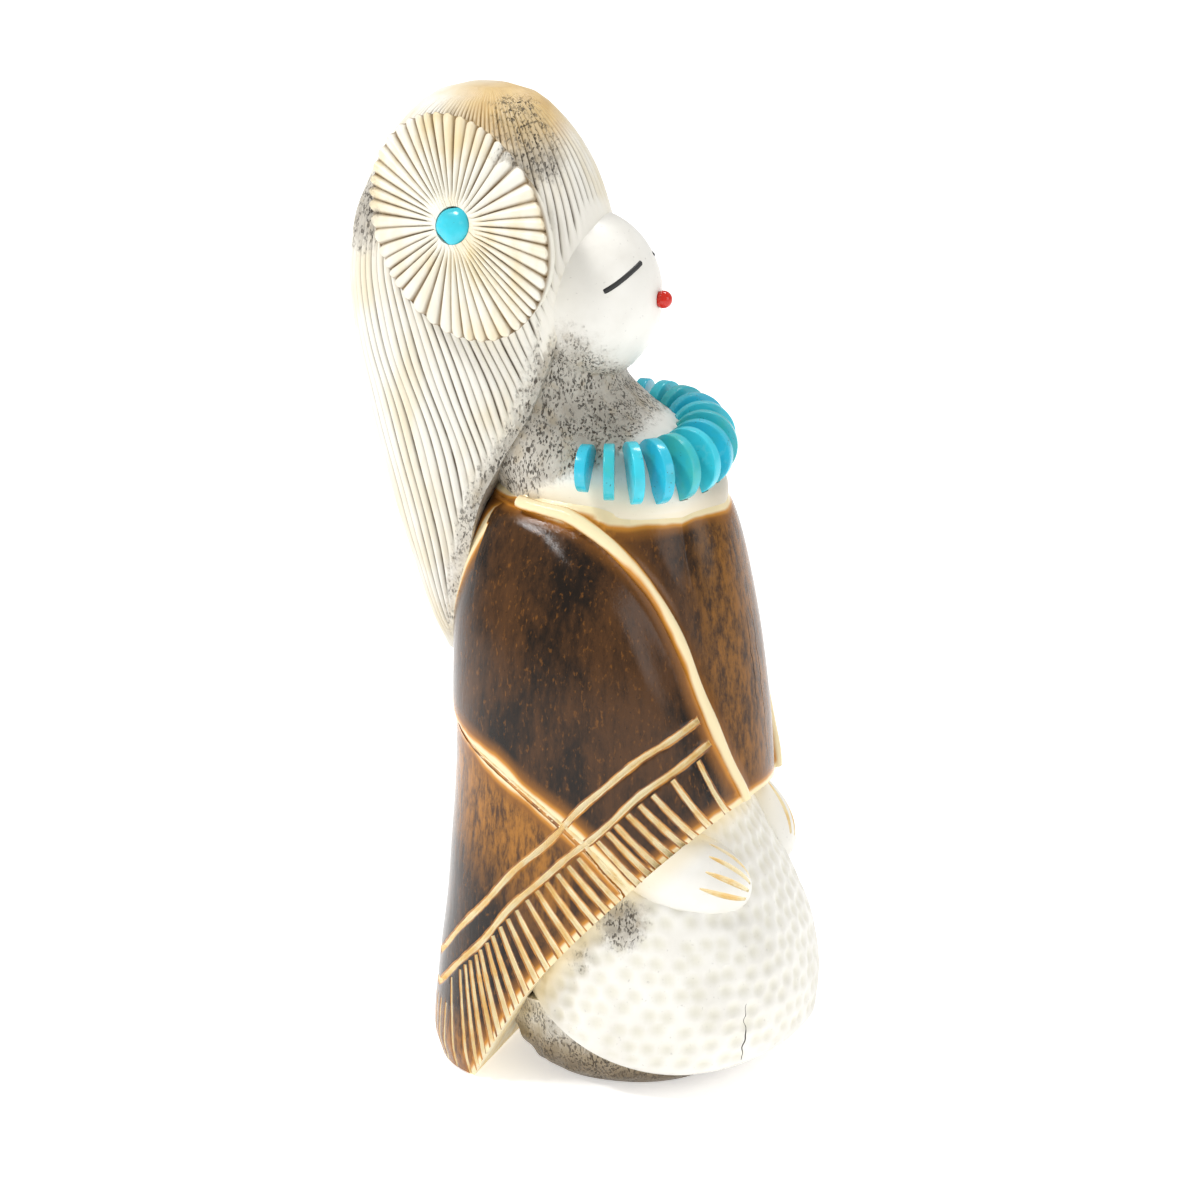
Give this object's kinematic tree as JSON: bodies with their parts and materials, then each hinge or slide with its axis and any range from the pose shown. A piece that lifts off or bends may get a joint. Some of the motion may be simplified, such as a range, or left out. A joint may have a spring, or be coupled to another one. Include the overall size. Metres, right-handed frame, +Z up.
{
  "type": "fetish carving",
  "caption": "Small standing maiden in a fringed cloak, carved from one piece of antler, with turquoise necklace stones, rosette dots and a coral mouth bead.",
  "frame": {"origin": "middle of the flat underside", "axes": "the figure faces -Y, her right hand is towards -X, +Z is up"},
  "size_m": [0.0358, 0.0512, 0.1062],
  "materials": {
    "antler": "polished antler, off-white with a brown stained cloak",
    "turquoise": "polished turquoise",
    "jet": "polished black stone",
    "coral": "polished red coral"
  },
  "bodies": {
    "root": {"carving": "antler", "necklace_stone_01": "turquoise", "necklace_stone_02": "turquoise", "necklace_stone_03": "turquoise", "necklace_stone_04": "turquoise", "necklace_stone_05": "turquoise", "necklace_stone_06": "turquoise", "necklace_stone_07": "turquoise", "necklace_stone_08": "turquoise", "necklace_stone_09": "turquoise", "necklace_stone_10": "turquoise", "necklace_stone_11": "turquoise", "necklace_stone_12": "turquoise", "necklace_stone_13": "turquoise", "rosette_stone_right": "turquoise", "rosette_stone_left": "turquoise", "eye_inlay_right": "jet", "eye_inlay_left": "jet", "mouth_bead": "coral"}
  },
  "joints": []
}
